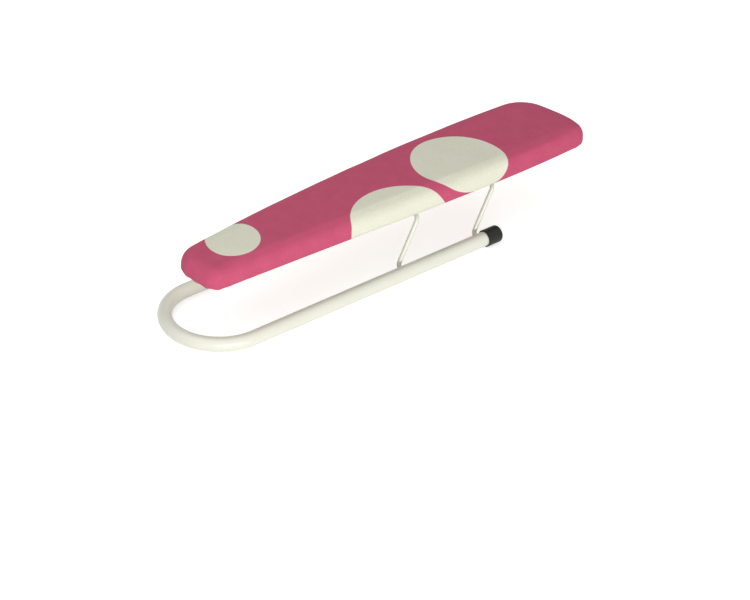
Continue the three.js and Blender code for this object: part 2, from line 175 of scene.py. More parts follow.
tree, given, result = effect("mottle", ["Mask"], Patch=0.02, Contrast=1.5)
cloud = noise_on(given["Vector"], calc("DIVIDE", 1.0, given["Patch"]), 4.0, Roughness=0.55)
centred = calc("MULTIPLY", calc("SUBTRACT", cloud, 0.5), given["Contrast"])
connect(calc("ADD", centred, 0.5, clamp=True), result["Mask"])
mottle = tree

tree, given, result = effect("fine_grain", ["Height"], Grain=0.0012)
fine = noise_on(given["Vector"], calc("DIVIDE", 1.0, given["Grain"]), 2.0)
broad = noise_on(given["Vector"], calc("DIVIDE", 0.25, given["Grain"]), 1.0)
connect(calc("ADD", calc("MULTIPLY", fine, 0.6), calc("MULTIPLY", broad, 0.4)), result["Height"])
grain = tree

# The weave's second output is painted shade: a mask that is high in the gaps between the threads, and the
# materials darken their colour by it.
tree, given, result = effect("plain_weave", ["Height", "Gap"], Thread=0.0005)
parts = add("ShaderNodeSeparateXYZ", {"Vector": given["Vector"]})
across, along = (calc("DIVIDE", parts[axis], given["Thread"]) for axis in (0, 1))
round_across, round_along = (
    calc("SINE", calc("MULTIPLY", calc("FRACT", value), math.pi)) for value in (across, along)
)
over = calc("FLOORED_MODULO", calc("ADD", calc("FLOOR", across), calc("FLOOR", along)), 2.0)
lift_across = calc("MULTIPLY", round_across, calc("MULTIPLY_ADD", round_along, 0.4, 0.6))
lift_along = calc("MULTIPLY", round_along, calc("MULTIPLY_ADD", round_across, 0.4, 0.6))
under = calc("MULTIPLY", lift_along, calc("SUBTRACT", 1.0, over))
connect(calc("ADD", calc("MULTIPLY", lift_across, over), under), result["Height"])
connect(calc("SUBTRACT", 1.0, calc("MULTIPLY", round_across, round_along), clamp=True), result["Gap"])
weave = tree


def use(group, **values):
    return add("ShaderNodeGroup", values, node_tree=group)


def mottled(place, size, contrast):
    """A mask of soft patches, of a size in mm."""
    return use(mottle, Vector=place, Patch=size * mm, Contrast=contrast)["Mask"]


def grained(place, size):
    """The height of a fine grain, of a size in mm."""
    return use(grain, Vector=place, Grain=size * mm)["Height"]


def start_material(name, **numbers):
    """A new material with plain numbers on its shader. Returns it, its tree and the shader's sockets."""
    material = bpy.data.materials.new(name)
    material.use_nodes = True
    sockets = material.node_tree.nodes["Principled BSDF"].inputs
    for socket, value in numbers.items():
        sockets[socket.replace("_", " ")].default_value = value
    return material, material.node_tree, sockets


def object_place():
    return add("ShaderNodeTexCoord")["Object"]


def dress(colour, roughness=None, bump=None):
    """Links colour, roughness and bump to the shader. A bump is a height, a depth in mm and a strength."""
    connect(colour, shader["Base Color"])
    if roughness is not None:
        connect(roughness, shader["Roughness"])
    if bump is not None:
        height, depth, strength = bump
        bumps = add("ShaderNodeBump", {"Height": height, "Distance": depth * mm, "Strength": strength})
        connect(bumps[0], shader["Normal"])


# %% [markdown]
# Cream powder coat
#
# The tube and the wires are sprayed with cream powder and baked. The skin is smooth and satin, with a faint
# orange peel, and it dulls a little in patches. A fine grain as bump and a mottle on roughness give that.

# %% Cream powder coat
cream, tree, shader = start_material("cream_powder_coat", Coat_Weight=0.25, Coat_Roughness=0.22, IOR=1.48)
spot = object_place()
patches, specks = mottled(spot, 60, 1.2), mottled(spot, 4, 1.6)
coat_tone = mix(patches, tone(220, 220, 205), tone(227, 228, 214))
coat_tone = mix(calc("MULTIPLY", specks, 0.12), coat_tone, tone(203, 203, 187))
dress(coat_tone, remap(patches, (0.33, 0.42), (0.2, 0.8)), (grained(spot, 1.4), 0.12, 0.5))

# %% [markdown]
# Black plastic
#
# The end caps are soft moulded polyethylene, nearly black and half glossy. The sole is rubbed dull and grey
# where it slides on a table, and the height above the table gives that zone without a painted map.

# %% Black plastic
black, tree, shader = start_material("black_polyethylene", IOR=1.5, Specular_IOR_Level=0.3)
rubbed_height = 1.6 * mm
spot = object_place()
height_in_room = add("ShaderNodeSeparateXYZ", {"Vector": spot})[2]
near_table = remap(height_in_room, (1.0, 0.0), (0.0, rubbed_height))
rubbed, dusty = calc("MULTIPLY", near_table, mottled(spot, 3, 2.5)), mottled(spot, 7, 2.0)
plain_black = mix(dusty, tone(20, 20, 14), tone(30, 29, 22))
dullness = calc("MULTIPLY_ADD", rubbed, 0.3, remap(dusty, (0.38, 0.5)))
dress(mix(rubbed, plain_black, tone(84, 83, 78)), dullness, (grained(spot, 0.6), 0.06, 0.6))

# %% [markdown]
# Printed cotton
#
# The cover is plain cotton, printed flat with large dots and then pulled over the board, so a dot runs on
# over the edge. The cover carries a UV map called print with each point's place on the flat cloth, in
# metres, and the dots and the weave are drawn there. A mottle gives the uneven dye, and a little sheen
# stands for the short fibres.

# %% Printed cotton
print_dots = [  # centre and radius on the flat cloth, in mm
    (-183.1, 6.8, 31.2), (-5.6, -70.9, 61.4), (107.9, -15.7, 50.6),
    (-73, 92, 32), (179, 104, 46), (317, 22, 40), (-317, 30, 34), (263, -112, 38),
]
ragged_scale, ragged_depth, print_blur = 900.0, 0.5 * mm, 0.3 * mm
cotton, tree, shader = start_material(
    "printed_cotton", Sheen_Weight=0.07, Sheen_Roughness=0.5, IOR=1.4, Specular_IOR_Level=0.25,
)
flat_place = add("ShaderNodeUVMap", uv_map="print")[0]
ragged = noise_on(flat_place, ragged_scale, 1.0)
inside_dots = 0.0
for centre_x, centre_y, radius in print_dots:
    centre = (centre_x * mm, centre_y * mm, 0.0)
    reach = add("ShaderNodeVectorMath", {0: flat_place, 1: centre}, operation="DISTANCE")["Value"]
    past_edge = calc("SUBTRACT", reach, radius * mm + ragged_depth / 2)
    edge = calc("MULTIPLY_ADD", ragged, ragged_depth, past_edge)
    inside_dots = calc("MAXIMUM", remap(edge, (1.0, 0.0), (-print_blur, print_blur)), inside_dots)
dye, slub = mottled(flat_place, 18, 1.6), mottled(flat_place, 2.2, 1.8)
cloth = use(weave, Vector=flat_place, Thread=0.55 * mm)
pink = mix(dye, tone(204, 84, 117), tone(214, 93, 127))
pale = mix(dye, tone(238, 239, 217), tone(245, 245, 226))
printed = mix(inside_dots, pink, pale)
printed = mix(calc("MULTIPLY", slub, 0.14), printed, tone(120, 96, 92), "MULTIPLY")
# Painted shade: the cloth's colour is darker in the gaps between the threads.
printed = mix(calc("MULTIPLY", cloth["Gap"], 0.16), printed, tone(128, 110, 104), "MULTIPLY")
cloth_height = calc("MULTIPLY_ADD", slub, 0.5, calc("MULTIPLY", cloth["Height"], 0.8))
dress(printed, remap(slub, (0.82, 0.93)), (cloth_height, 0.12, 0.45))

# %% [markdown]
# Foam, elastic, thread
#
# These three are hardly seen, but they are real pieces: open-cell foam full of small pores, a ribbed elastic
# band, and the thread of the hem seam. Cells from a Voronoi texture make the pores, the weave makes the ribs.

# %% Foam, elastic and thread
foam, tree, shader = start_material("open_cell_foam", Roughness=0.95, Specular_IOR_Level=0.2)
spot = object_place()
pores = add("ShaderNodeTexVoronoi", {"Vector": spot, "Scale": 900.0})["Distance"]
foam_tone = mix(mottled(spot, 30, 1.4), tone(196, 193, 182), tone(180, 176, 160))
shaded = remap(pores, (0.35, 0.0), (0.1, 0.6))
dress(mix(shaded, foam_tone, tone(120, 117, 106)), bump=(pores, 0.4, 0.8))

elastic, tree, shader = start_material("ribbed_elastic", Roughness=0.85, Specular_IOR_Level=0.3)
ribs = use(weave, Vector=object_place(), Thread=0.9 * mm)
# Painted shade: the band's colour is darker in the gaps between its ribs.
dress(mix(ribs["Gap"], tone(236, 233, 224), tone(198, 194, 182)), bump=(ribs["Height"], 0.25, 0.7))

thread, tree, shader = start_material("sewing_thread", Roughness=0.7, Sheen_Weight=0.3)
twist = noise_on(object_place(), 2600.0, 1.0)
dress(mix(twist, tone(226, 206, 208), tone(246, 232, 232)), bump=(twist, 0.1, 0.6))

# %% [markdown]
# Plywood, nylon, zinc
#
# Underneath, the core is birch plywood, its grain running along the board. The clips are injection-moulded
# nylon, and the screws are zinc plated with a faint yellow and blue passivation.

# %% Plywood, nylon and zinc
birch, tree, shader = start_material("birch_plywood", Specular_IOR_Level=0.35)
spot = object_place()
ring_place, fibre_place = (
    add("ShaderNodeMapping", {"Vector": spot, "Scale": scale})[0] for scale in ((6, 90, 90), (90, 1800, 1800))
)
rings, fibres = noise_on(ring_place, 1.0, 5.0, Distortion=0.6), noise_on(fibre_place, 1.0, 3.0)
wood = mix(remap(rings, (0.0, 1.0), (0.35, 0.65)), tone(214, 182, 136), tone(190, 152, 104))
wood = mix(remap(fibres, (0.0, 0.45), (0.45, 0.75)), wood, tone(150, 112, 72))
dress(wood, remap(fibres, (0.62, 0.8), (0.2, 0.8)), (fibres, 0.2, 0.5))

nylon, tree, shader = start_material("moulded_nylon", IOR=1.53)
spot = object_place()
cloudy = mottled(spot, 8, 1.4)
nylon_tone = mix(cloudy, tone(146, 149, 150), tone(164, 167, 167))
dress(nylon_tone, remap(cloudy, (0.45, 0.58)), (grained(spot, 0.5), 0.06, 0.6))

zinc, tree, shader = start_material("zinc_plate", Metallic=1.0)
spot = object_place()
passivated = mottled(spot, 2.5, 2.2)
zinc_tone = mix(passivated, tone(196, 199, 203), tone(214, 208, 190))
dress(zinc_tone, remap(passivated, (0.26, 0.42)), (grained(spot, 0.3), 0.03, 0.5))
print("materials", len(bpy.data.materials))

# %% [markdown]
# From trees to plain pieces
#
# A modifier tree is only the recipe. Each finished piece is turned into a plain mesh whose object stays at
# the origin, unturned, as the imported nodes are, so it rides on its body.

# %% Turning a recipe into a piece
def mesh_object(name, points=(), faces=(), edges=()):
    mesh = bpy.data.meshes.new(name)
    mesh.from_pydata([tuple(point) for point in points], list(edges), list(faces))
    mesh.update()
    return new_object(name, mesh)


def coordinates(piece):
    return np.array([vertex.co[:] for vertex in piece.data.vertices])


def move_to(piece, places):
    piece.data.vertices.foreach_set("co", places.ravel())
    piece.data.update()


def finished(recipe):
    """The evaluated shape of an object, as a plain smooth mesh object under the same name."""
    name, old_data = recipe.name, recipe.data
    graph = bpy.context.evaluated_depsgraph_get()
    shape = recipe.evaluated_get(graph)
    mesh = bpy.data.meshes.new_from_object(shape, preserve_all_data_layers=True, depsgraph=graph)
    bpy.data.objects.remove(recipe)
    bpy.data.meshes.remove(old_data)
    mesh.name = name
    mesh.polygons.foreach_set("use_smooth", [True] * len(mesh.polygons))
    return new_object(name, mesh)


def edit(piece, change):
    """Opens a piece's mesh, lets a function change it and writes it back."""
    work = bmesh.new()
    work.from_mesh(piece.data)
    change(work)
    work.to_mesh(piece.data)
    work.free()
    return piece


def face_outwards(work):
    bmesh.ops.recalc_face_normals(work, faces=work.faces)


def drop_slivers(work):
    """Merges points that a cut or a bevel left on top of each other, and drops the slivers between them."""
    reach = 0.002 * mm
    bmesh.ops.remove_doubles(work, verts=work.verts, dist=reach)
    bmesh.ops.dissolve_degenerate(work, edges=work.edges, dist=reach)
    bmesh.ops.triangulate(work, faces=[face for face in work.faces if len(face.verts) > 4])
    bmesh.ops.dissolve_degenerate(work, edges=work.edges, dist=reach)


def hand_over(recipe, body, slot, *nodes, material=None, crisp=None):
    """Finishes a piece, shades it crisp at edges over an angle, hangs it on the empty of the body it moves
    with and hides the nodes it stands for. The slot is not used."""
    if material:
        recipe.data.materials.append(material)
    piece = finished(recipe)
    if crisp:
        piece.data.set_sharp_from_angle(angle=math.radians(crisp))
    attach(piece, body)
    if nodes:
        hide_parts(*nodes)
    piece.data.calc_loop_triangles()
    print(piece.name, len(piece.data.loop_triangles), "triangles, rides on", body)
    return piece


def tree_with(name, **inputs):
    """A geometry tree with named inputs, the finish last. Returns it and what goes in."""
    new_tree = bpy.data.node_groups.new(name, "GeometryNodeTree")
    sockets = new_tree.interface
    for label, kind in {"Geometry": "Geometry", **inputs, "Finish": "Material"}.items():
        sockets.new_socket(label.replace("_", " "), in_out="INPUT", socket_type="NodeSocket" + kind)
    sockets.new_socket("Geometry", in_out="OUTPUT", socket_type="NodeSocketGeometry")
    return new_tree, new_tree.nodes.new("NodeGroupInput").outputs


def end_tree(geometry):
    """Makes the geometry real, gives it its finish and puts it out."""
    real = add("GeometryNodeRealizeInstances", {"Geometry": geometry})[0]
    dressed = add("GeometryNodeSetMaterial", {"Geometry": real, "Material": given["Finish"]})[0]
    connect(dressed, tree.nodes.new("NodeGroupOutput").inputs[0])


def apply_tree(recipe, used_tree, **values):
    modifier = configure(recipe.modifiers.new(used_tree.name, "NODES"), node_group=used_tree)
    for item in used_tree.interface.items_tree:
        key = item.name.replace(" ", "_")
        if item.in_out == "INPUT" and key in values:
            modifier[item.identifier] = values[key]


# %% [markdown]
# Bent rods
#
# A wire former bends straight rod round a pin at each corner. The same rule makes all three bent pieces: a
# chain of corner points, a bend radius stored at each, and a round section swept along the filleted path.
# A loop could sweep them too, but one tree with named inputs serves the tube and both legs.

# %% The bent rod tree
tree, given = tree_with("bent_rod", Rod_Radius="Float", Sides="Int", Bend_Steps="Int", Closed_Ends="Bool")
path = add("GeometryNodeMeshToCurve", {"Mesh": given["Geometry"]})[0]
bend_radius = add("GeometryNodeInputNamedAttribute", {"Name": "bend_radius"}, data_type="FLOAT")[0]
bent = add("GeometryNodeFilletCurve", {
    "Curve": path, "Radius": bend_radius, "Count": given["Bend Steps"], "Limit Radius": True,
}, mode="POLY")[0]
circle = {"Resolution": given["Sides"], "Radius": given["Rod Radius"]}
section = add("GeometryNodeCurvePrimitiveCircle", circle)[0]
sweep = {"Curve": bent, "Profile Curve": section, "Fill Caps": given["Closed Ends"]}
end_tree(add("GeometryNodeCurveToMesh", sweep)[0])
rod = tree


def bent_rod(name, corners, radii, rod_radius, sides, bend_steps=14, closed=True):
    recipe = mesh_object(name, corners, edges=[(i, i + 1) for i in range(len(corners) - 1)])
    recipe.data.attributes.new("bend_radius", "FLOAT", "POINT").data.foreach_set("value", radii)
    apply_tree(recipe, rod, Rod_Radius=rod_radius, Sides=sides, Bend_Steps=bend_steps, Closed_Ends=closed,
               Finish=cream)
    return recipe


# %% [markdown]
# Base tube
#
# One 16 mm tube with a 1 mm wall, bent into a U. The caps lift its open ends a millimetre, so the bend dips
# until it touches the table. The wall comes from Solidify, inwards, and the four foot holes are cut through
# the inner walls with a Boolean and round bits, as they are drilled in the real tube.

# %% Base tube
tube_radius, tube_wall, tube_sides, bend_count = 8 * mm, 1 * mm, 48, 72
run_offset, run_height, run_length = 57.75 * mm, 9 * mm, 336 * mm
wire_radius, foot_hole_radius, drill_length = 2.5 * mm, 2.8 * mm, 4 * mm
run_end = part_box("base_tube")[1].x
bend_centre = run_end - run_length
joint_place = {joint["name"]: Vector(joint["pos_m"]) for joint in frame["joints"]}
foot_x = {leg: joint_place[leg + "_fold"].x for leg in ("front_leg", "rear_leg")}
pivot = joint_place["board_pivot"]

tube_path = [Vector((run_end, -run_offset, run_height))]
for step in range(bend_count + 1):
    angle = math.pi * step / bend_count
    along, across = -run_offset * math.sin(angle), -run_offset * math.cos(angle)
    dip = (run_height - tube_radius) * math.sin(angle) ** 2
    tube_path.append(Vector((bend_centre + along, across, run_height - dip)))
tube_path.append(Vector((run_end, run_offset, run_height)))

no_radii = [0.0] * len(tube_path)
tube = bent_rod("base_tube_bent", tube_path, no_radii, tube_radius, tube_sides, bend_steps=1, closed=False)
configure(tube.modifiers.new("wall", "SOLIDIFY"), thickness=tube_wall, offset=-1)


def drill(name, place, radius, length, level=False, sides=32):
    """A round bit to cut a hole with, upright, or level along y."""
    turn = Matrix.Rotation(math.pi / 2, 4, "X") if level else Matrix()
    size = {"segments": sides, "radius1": radius, "radius2": radius, "depth": length}

    def grow(work):
        bmesh.ops.create_cone(work, cap_ends=True, **size)
        bmesh.ops.transform(work, matrix=Matrix.Translation(place) @ turn, verts=work.verts)

    return edit(mesh_object(name), grow)


def cut(piece, tools):
    for tool in tools:
        hole = piece.modifiers.new(tool.name, "BOOLEAN")
        configure(hole, operation="DIFFERENCE", object=tool, solver="EXACT")
    cut_piece = edit(finished(piece), drop_slivers)
    for tool in tools:
        bpy.data.objects.remove(tool)
    return cut_piece


bits = [
    drill(f"bit_{leg}_{side}", (x, side * (run_offset - tube_radius), run_height), foot_hole_radius,
          drill_length, level=True)
    for leg, x in foot_x.items() for side in (-1, 1)
]
hand_over(cut(finished(tube), bits), "base", "cream_paint", "base_tube", crisp=40)
print("bend centre", round(bend_centre, 5), "foot holes", foot_x)

# %% [markdown]
# Wire legs
#
# Each leg is one 5 mm wire from foot pin to foot pin: out of the tube, up the lean, over the shoulder, and
# along the crossbar with a crank in the middle that stops against the board. Both legs are the same wire.

# %% Wire legs
foot_pin_end, leg_plane, wire_sides = 55.75 * mm, 43.75 * mm, 28
leg_reach, leg_lean = 60 * mm, math.radians(27.5)
crank_reach, crank_flat, crank_slope, stop_gap = 10 * mm, 8 * mm, 8 * mm, 0.3 * mm
foot_bend, shoulder_bend, crank_bend = 6 * mm, 7 * mm, 4 * mm
core_low, core_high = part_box("board_core")
crank_rise = math.asin((core_low.z - pivot.z - wire_radius - stop_gap) / crank_reach)
shift, rise = leg_reach * math.sin(leg_lean), leg_reach * math.cos(leg_lean)
half_wire = [
    (0, -foot_pin_end, 0), (0, -leg_plane, 0), (shift, -leg_plane, rise),
    (shift, -crank_flat - crank_slope, rise),
    (shift - crank_reach * math.cos(crank_rise), -crank_flat, rise + crank_reach * math.sin(crank_rise)),
]
half_radii = [0, foot_bend, shoulder_bend, crank_bend, crank_bend]
for leg, x in foot_x.items():
    corners = [
        Vector((x + a, side * b, run_height + c))
        for side, half in ((1, half_wire), (-1, half_wire[::-1])) for a, b, c in half
    ]
    wire = bent_rod(f"{leg}_wire", corners, half_radii + half_radii[::-1], wire_radius, wire_sides)
    hand_over(wire, leg, "cream_paint", leg, crisp=50)

# %% [markdown]
# End caps
#
# Each cap is a cup pushed over the tube end. It is a body of revolution, so it is turned from a profile, as
# its mould was, and then its underside is flattened into a sole. The lip is rolled, the closed end has a wide
# round edge, and a small gate mark shows where the plastic flowed in.

# %% End caps
def turned(name, profile, sides, centre, upright=False):
    """A closed body of revolution from (distance from the axis, place along it) pairs."""
    points, faces, index = [], [], {}
    for i in range(sides):
        angle = 2 * math.pi * i / sides
        for j, (r, along) in enumerate(profile):
            key = (0 if r == 0 else i, j)
            if key not in index:
                index[key] = len(points)
                a, b = math.cos(angle) * r, math.sin(angle) * r
                points.append(Vector(centre) + Vector((a, b, along) if upright else (along, a, b)))
            index[(i, j)] = index[key]
    for i in range(sides):
        after = (i + 1) % sides
        for j in range(len(profile) - 1):
            corners = dict.fromkeys(index[key] for key in ((i, j), (i, j + 1), (after, j + 1), (after, j)))
            if len(corners) > 2:
                faces.append(list(corners))
    return edit(mesh_object(name, points, faces), face_outwards)


def arc(centre_r, centre_along, radius, start, end, steps, other_radius=None):
    """Points of a round corner in a profile. Angles are in degrees, 0 is outwards and 90 is ahead."""
    angles = [math.radians(start + (end - start) * i / steps) for i in range(steps + 1)]
    up = other_radius or radius
    return [(centre_r + radius * math.cos(a), centre_along + up * math.sin(a)) for a in angles]


cap_radius, cap_length, cap_bore, cap_edge, cap_sides = 9.5 * mm, 20.5 * mm, 8.3 * mm, 3.6 * mm, 64
cap_floor, lip_round, mouth_slope, gate_radius, gate_depth = 2.2 * mm, 0.5 * mm, 0.3 * mm, 1.3 * mm, 0.3 * mm
bore_end = cap_length - cap_floor
cap_profile = [(0, bore_end), (cap_bore, bore_end), (cap_bore, 0.4 * mm), (cap_bore + mouth_slope, 0)]
cap_profile += arc(cap_radius - lip_round, lip_round, lip_round, -90, 0, 4)
cap_profile += [(cap_radius, along) for along in (3 * mm, 10 * mm, cap_length - cap_edge - 0.5 * mm)]
cap_profile += arc(cap_radius - cap_edge, cap_length - cap_edge, cap_edge, 0, 84, 8)
cap_profile += [(4 * mm, cap_length), (gate_radius + gate_depth, cap_length)]
cap_profile += [(r, cap_length - gate_depth) for r in (gate_radius, 0)]
for side, sign in (("near", -1), ("far", 1)):
    rim_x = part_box(f"end_cap_{side}")[0].x
    centre = (rim_x, sign * run_offset, run_height)
    cap = turned(f"end_cap_{side}_moulded", cap_profile, cap_sides, centre)
    for vertex in cap.data.vertices:
        vertex.co.z = max(vertex.co.z, 0.0)
    hand_over(cap, "base", "black_plastic", f"end_cap_{side}", material=black, crisp=35)

# %% [markdown]
# Board outline
#
# The board tapers from a wide slanted rear end to a blunt nose. Its pattern has a round at each corner and
# edges that bow out between them. The outline is worked out the same way, as a dense line with its outward
# direction at each point, and every soft layer is an offset of it. Foam pushes the cloth a little outwards
# at the sides and the rear, so the line stands out by that.

# %% Corner rounds and bowed edges
cover_low, cover_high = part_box("fabric_cover")
nose_x, rear_x, crossbar_x = (x / mm for x in (cover_low.x, cover_high.x, pivot.x))
NOSE, REAR, NEAR, FAR = -1, 1, -1, 1
near_stand, far_stand, rear_stand = 0.9, 1.6, 1.1
corner_sizes = [  # end, side, reach from the front crossbar, half width, radius
    (NOSE, NEAR, 273.8, 35.0 + near_stand, 18.0),
    (REAR, NEAR, 239.0 + rear_stand, 46.8 + near_stand, 17.5),
    (REAR, FAR, 233.3 + rear_stand, 50.1 + far_stand, 39.2),
    (NOSE, FAR, 275.5, 32.1 + far_stand, 27.0),
]
edge_sizes = [  # bow in degrees and handle share where the edge leaves a round and where it meets the next
    (0.7, 5.3, 0.45, 0.23),
    (17.0, 6.2, 0.33, 0.33),
    (5.5, 4.0, 0.23, 0.45),
    (3.0, 3.0, 0.33, 0.33),
]
rounds = [
    (np.array([crossbar_x + end * (reach - radius), side * (half - radius)]), radius)
    for end, side, reach, half, radius in corner_sizes
]


def toward(angle):
    return np.array([math.cos(angle), math.sin(angle)])


edge_angles = []  # where each edge leaves its first round and meets the next, counter-clockwise
for number, (leave_bow, meet_bow, _, _) in enumerate(edge_sizes):
    (first, first_radius), (last, last_radius) = rounds[number], rounds[(number + 1) % 4]
    span = last - first
    square = math.atan2(span[1], span[0]) - math.acos((first_radius - last_radius) / np.linalg.norm(span))
    edge_angles.append((square - math.radians(leave_bow), square + math.radians(meet_bow)))

# %% The closed line
edge_counts, round_count = (1800, 160, 1800, 120), 240
lines = []
for number, count in enumerate(edge_counts):
    after = (number + 1) % 4
    (first, first_radius), (last, last_radius) = rounds[number], rounds[after]
    leave, meet = edge_angles[number]
    start, end = first + first_radius * toward(leave), last + last_radius * toward(meet)
    length = np.linalg.norm(end - start)
    start_handle = start + edge_sizes[number][2] * length * toward(leave + math.pi / 2)
    end_handle = end - edge_sizes[number][3] * length * toward(meet + math.pi / 2)
    t = np.linspace(0, 1, count, endpoint=False)[:, None]
    lines.append((1 - t) ** 3 * start + 3 * (1 - t) ** 2 * t * start_handle
                 + 3 * (1 - t) * t * t * end_handle + t ** 3 * end)
    turn = (edge_angles[after][0] - meet) % (2 * math.pi)
    angles = meet + np.linspace(0, turn, round_count, endpoint=False)
    lines.append(last + last_radius * np.column_stack([np.cos(angles), np.sin(angles)]))
outline = np.concatenate(lines)
steps_round = np.linalg.norm(np.roll(outline, -1, 0) - outline, axis=1)
travel = np.concatenate([[0], np.cumsum(steps_round)])
perimeter = travel[-1]
heading = np.roll(outline, -1, 0) - np.roll(outline, 1, 0)
outward = np.stack([heading[:, 1], -heading[:, 0]], 1) / np.linalg.norm(heading, axis=1)[:, None]
line_ends = np.cumsum([len(line) for line in lines])
near_rear, far_rear, far_nose, near_nose = (travel[end - round_count // 2] for end in line_ends[1::2])
print("outline", round(perimeter, 1), "mm round", outline.min(0).round(1), "to", outline.max(0).round(1))


def at(distance):
    """Place and outward direction of the outline at a distance round it."""
    closed = [np.append(column, column[0]) for column in (*outline.T, *outward.T)]
    values = [np.interp(np.mod(distance, perimeter), travel, column) for column in closed]
    return np.stack(values[:2], 1), np.stack(values[2:], 1)


# %% [markdown]
# A skin over the outline
#
# Cloth and foam are both skins: a grid over the top and rings down the sides. The grid is stretched between
# the nose, the rear end and the two sides, so it has no pole, and it shares the first ring's points. Cloth
# simulation likes such even squares better than long triangles.

# %% A skin over the outline
long_count, cross_count = 110, 20
half_cross = cross_count // 2
nose_middle = (far_nose + near_nose) / 2
stops = [nose_middle - perimeter, near_nose - perimeter, near_rear, far_rear, far_nose, nose_middle]
stop_counts = [half_cross, long_count, cross_count, long_count, half_cross]
stations = np.concatenate([
    np.linspace(start, end, count, endpoint=False) for start, end, count in zip(stops, stops[1:], stop_counts)
])
station_place, station_out = at(stations)
station_count = len(stations)


def laid(inset, height, place=station_place, out=station_out):
    """Points that lie inside the outline by an inset, at a height, both in mm."""
    return np.column_stack([place - out * np.reshape(inset, (-1, 1)), np.full(len(place), height)])


def squares(numbers):
    """The faces of a sheet of point numbers, row after row."""
    corners = [numbers[:-1, :-1], numbers[1:, :-1], numbers[1:, 1:], numbers[:-1, 1:]]
    return np.stack(corners, axis=2).reshape(-1, 4).tolist()


def stretched_grid(ring, ring_start, inner_start):
    """Fills a ring with squares. Returns the inner points, and the faces as numbers from the two starts."""
    i, j = np.arange(long_count + 1), np.arange(cross_count + 1)
    near, far = half_cross + i, (station_count - half_cross - i) % station_count
    nose, rear = (half_cross - j) % station_count, half_cross + long_count + j
    u, v = (i / long_count)[:, None, None], (j / cross_count)[:, None]
    sides = ((1 - v) * ring[near][:, None] + v * ring[far][:, None]
             + (1 - u) * ring[nose] + u * ring[rear])
    ends = ((1 - u) * (1 - v) * ring[near[0]] + u * (1 - v) * ring[near[-1]]
            + (1 - u) * v * ring[far[0]] + u * v * ring[far[-1]])
    inner = (sides - ends)[1:-1, 1:-1].reshape(-1, ring.shape[1])
    numbers = np.zeros((len(i), len(j)), int)
    numbers[:, 0], numbers[:, -1], numbers[0], numbers[-1] = near, far, nose, rear
    numbers += ring_start
    numbers[1:-1, 1:-1] = inner_start + np.arange(len(inner)).reshape(long_count - 1, -1)
    return inner, squares(numbers)


def bands(count, looped=False):
    """Faces between rings that follow each other from the top outside downwards."""
    numbers = np.arange(count * station_count).reshape(count, -1)
    return squares(np.pad(numbers, ((0, int(looped)), (0, 1)), "wrap"))


# %% [markdown]
# Cotton cover
#
# The cloth is crowned over the foam, turns softly over the edge, hangs down the side, and is drawn in under
# the board by the elastic in its hem. The edge is softest over the front half, where the foam is fullest.
# The skin is first laid as straight offsets, and each point's flat place goes into the print map. A cover
# is pulled on by hand: on the near side this one has slid a few millimetres to the rear, and its dots with
# it, so the map gets the same pull.

# %% Cover sizes and profile
cloth_thickness, touch = 0.7, 0.3
crown_height, crown_inset = 0.8, 14.0
top_plane, bottom_plane = cover_high.z / mm - crown_height, cover_low.z / mm
hem_width, hem_turn, hem_depth, bottom_round = 12.0, 6.5, 2.6, 5.0
edge_places = [nose_x, nose_x + 80, 60, 130, 200, rear_x]
near_edge = ([13.0, 12.0, 13.0, 9.0, 6.0, 9.5], [12.5, 9.5, 9.5, 11.5, 13.0, 12.5])
far_edge = ([13.0, 9.5, 9.5, 9.5, 9.5, 10.5], [13.5, 11.5, 11.5, 11.5, 11.5, 13.0])
top_levels, side_shares, bottom_levels, hem_shares = 9, (0.35, 0.7), 6, (0.3, 0.65, 1.0)
bottom_start = top_levels + len(side_shares)
bottom_end = bottom_start + bottom_levels


def ease(value):
    share = np.clip(value, 0, 1)
    return share * share * (3 - 2 * share)


def soft_edge(x, out_y):
    """How far in and how far down the top edge is rounded, at a place on the outline."""
    near, far = ([np.interp(x, edge_places, row) for row in table] for table in (near_edge, far_edge))
    share = ease((1 - out_y) / 2)
    return [share * n + (1 - share) * f for n, f in zip(near, far)]


def cover_profile(edge=(10.0, 11.5)):
    """(inset, height) of the cloth's outer face, from the crown round to the folded-back hem, in mm."""
    inwards, down = edge
    side_top, side_bottom = top_plane - down, bottom_plane + bottom_round
    fold_radius = hem_depth / 2
    end = hem_width - fold_radius
    profile = [(crown_inset, top_plane)]
    profile += arc(inwards, side_top, inwards, 90, 180, top_levels - 2, down)
    profile += [(0, side_top + (side_bottom - side_top) * share) for share in side_shares]
    profile += arc(bottom_round, side_bottom, bottom_round, 180, 270, bottom_levels - 1)
    profile += [(bottom_round + (end - bottom_round) * share, bottom_plane) for share in hem_shares]
    profile += arc(end, bottom_plane + fold_radius, fold_radius, -45, 90, 3)
    profile += [(inset, bottom_plane + hem_depth) for inset in (end - 3, hem_width - hem_turn)]
    return np.array(profile)


def crown(inset):
    return crown_height * ease(np.asarray(inset) / crown_inset)


def pulled(flat):
    """The place on the print that comes to lie at a flat place, both in mm."""
    along, across = flat[:, 0] / 100, np.clip(flat[:, 1] / 50, -1.3, 1.2)
    slide = -2.13 * across - 0.51 * across ** 2 + 4.58 * across ** 3 + along * across * (2.67 + 0.49 * across)
    spread = -0.43 * across - 0.88 * across ** 2 + along * (0.61 - 0.38 * across)
    return flat + np.column_stack([slide, spread])


